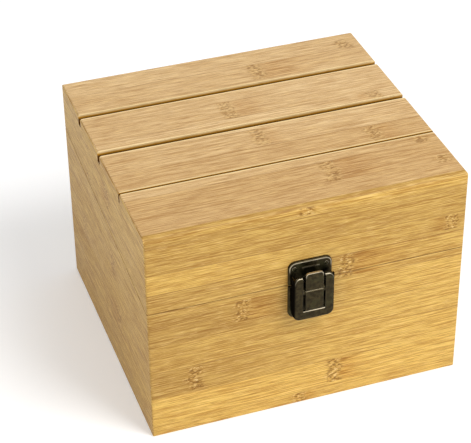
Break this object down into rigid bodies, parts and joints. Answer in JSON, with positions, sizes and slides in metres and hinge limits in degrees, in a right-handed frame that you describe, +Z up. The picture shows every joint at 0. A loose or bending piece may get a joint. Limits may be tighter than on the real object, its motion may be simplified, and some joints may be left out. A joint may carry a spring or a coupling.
{
  "type": "recipe_card_box",
  "caption": "Bamboo recipe card box with a hinged lid cut off along a slanted seam, card grooves in its top and an antique bronze draw latch.",
  "frame": {"origin": "the middle of the wooden box's flat underside, which is the rest_face mount", "axes": "+X to the right as seen from the latch side, the longest side. -Y out of the front with the latch, +Y to the hinges. +Z up through the lid, the shortest side."},
  "size_m": [0.18, 0.1777, 0.132],
  "materials": {
    "bamboo": "laminated bamboo, clear satin lacquer",
    "antique_bronze": "dark antique bronze plating, rubbed bright on the edges",
    "fixings": "dark antique bronze, rubbed bright on the heads"
  },
  "bodies": {
    "box": {"base_board": "bamboo", "body_front_wall": "bamboo", "body_back_wall": "bamboo", "body_left_wall": "bamboo", "body_right_wall": "bamboo", "left_hinge_body_leaf": "antique_bronze", "left_hinge_pin": "fixings", "right_hinge_body_leaf": "antique_bronze", "right_hinge_pin": "fixings", "hinge_body_screws": "fixings", "latch_base_plate": "antique_bronze", "latch_base_nails": "fixings", "lever_rivets": "fixings"},
    "lid": {"lid_front_wall": "bamboo", "lid_back_wall": "bamboo", "lid_left_wall": "bamboo", "lid_right_wall": "bamboo", "lid_top_board": "bamboo", "left_hinge_lid_leaf": "antique_bronze", "right_hinge_lid_leaf": "antique_bronze", "hinge_lid_screws": "fixings", "strike_plate": "antique_bronze", "strike_nails": "fixings"},
    "lever": {"latch_lever": "antique_bronze", "link_pin": "fixings"},
    "link": {"latch_link": "antique_bronze"}
  },
  "joints": [
    {"name": "lid_hinge", "type": "hinge", "parent": "box", "child": "lid", "pos_m": [0, 0.0849, 0.103], "axis": [-1, 0, 0], "range_deg": [0, 180]},
    {"name": "lever_pivot", "type": "hinge", "parent": "box", "child": "lever", "pos_m": [0, -0.08765, 0.08965], "axis": [-1, 0, 0], "range_deg": [0, 140]},
    {"name": "link_pivot", "type": "hinge", "parent": "lever", "child": "link", "pos_m": [0, -0.0881, 0.0826], "axis": [-1, 0, 0], "range_deg": [-140, 0]}
  ],
  "couplings": [
    {"joint": "link_pivot", "follows": "lever_pivot", "ratio": -1}
  ]
}
